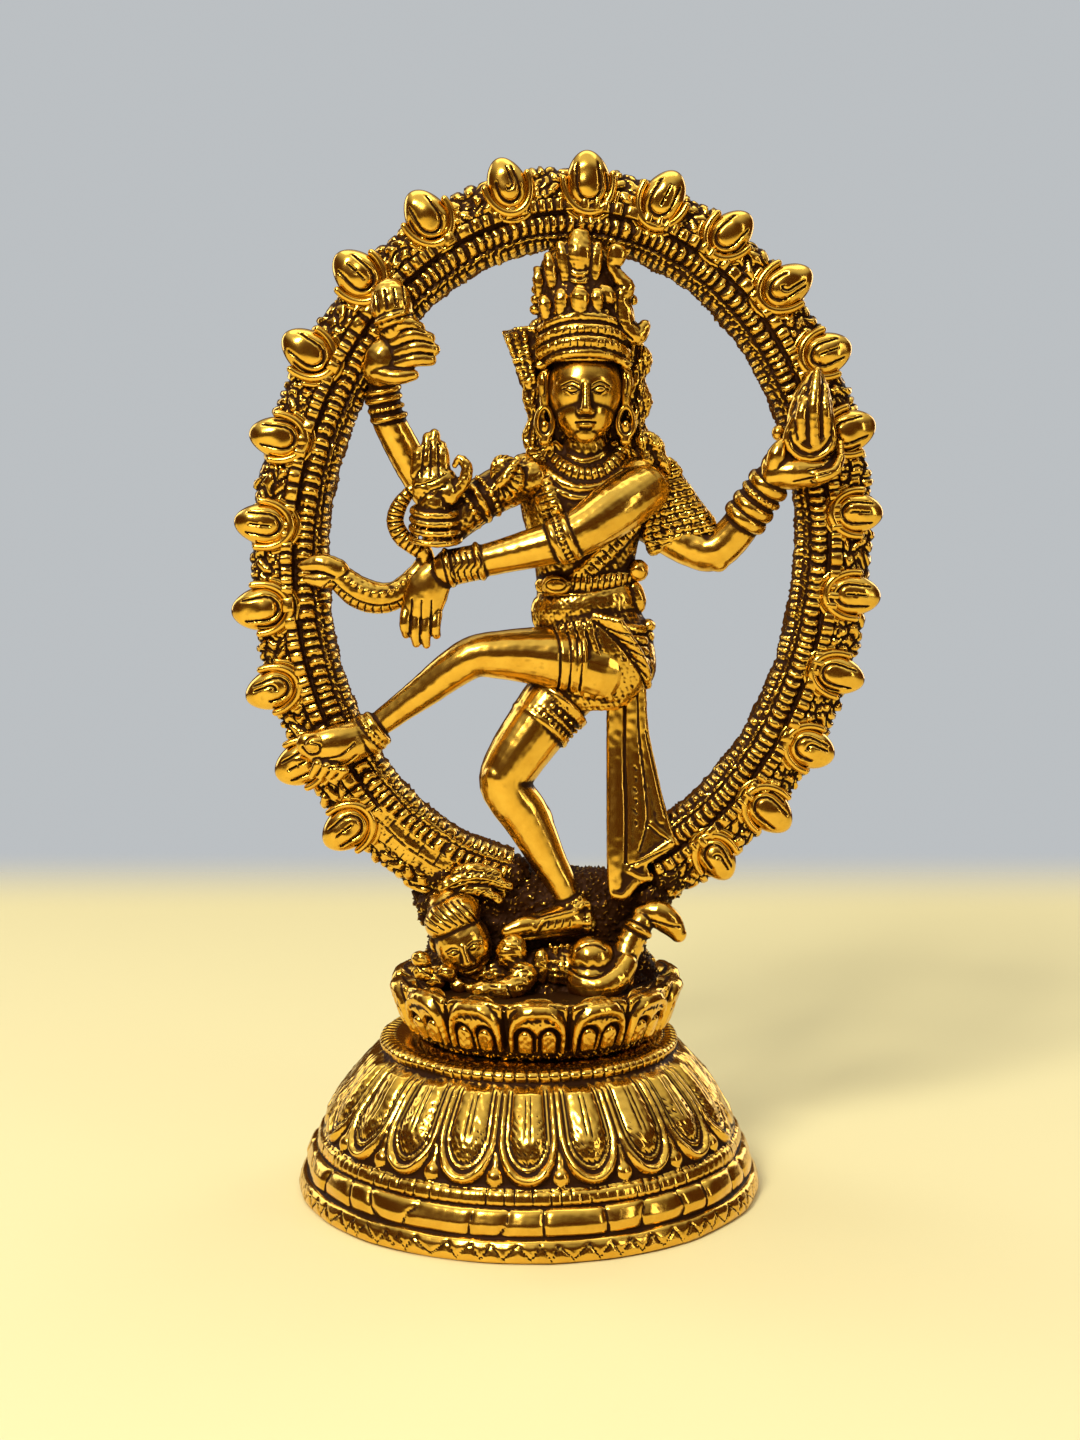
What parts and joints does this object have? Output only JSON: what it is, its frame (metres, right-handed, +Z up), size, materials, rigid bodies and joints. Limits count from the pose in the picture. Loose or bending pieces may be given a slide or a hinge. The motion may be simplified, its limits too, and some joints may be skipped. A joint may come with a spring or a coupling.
{
  "type": "nataraja statue",
  "caption": "Brass statue of a four-armed dancer inside an oval ring of flames, on a lotus plinth over a round petalled bell base.",
  "frame": {"origin": "middle of the whole statue's bounding box, at the height of the foot it stands on", "axes": "+Z up, -Y is the way the dancer faces, +X is the viewer's right when looking at the dancer's face"},
  "size_m": [0.1442, 0.1046, 0.2298],
  "materials": {
    "antique_brass": "polished high spots over a dark brown antique patina in the recesses",
    "dark_brass": "rough cast, dark brown antique patina",
    "plated_steel": "zinc plated"
  },
  "bodies": {
    "root": {"base_shell": "antique_brass", "lotus_plinth": "antique_brass", "standing_leg": "antique_brass", "hip_wrap": "antique_brass", "raised_leg": "antique_brass", "torso": "antique_brass", "head": "antique_brass", "crown": "antique_brass", "hair_panel": "antique_brass", "gaja_arm": "antique_brass", "drum_arm": "antique_brass", "drum": "antique_brass", "blessing_arm": "antique_brass", "fire_arm": "antique_brass", "fire_flame": "antique_brass", "shoulder_veil": "antique_brass", "dancing_sash": "antique_brass", "cobra": "antique_brass", "dwarf_body": "antique_brass", "dwarf_head": "antique_brass", "dwarf_legs": "antique_brass", "flame_arch": "antique_brass", "ground_mound": "dark_brass", "fixing_screw": "plated_steel", "screw_washer": "plated_steel"}
  },
  "joints": []
}
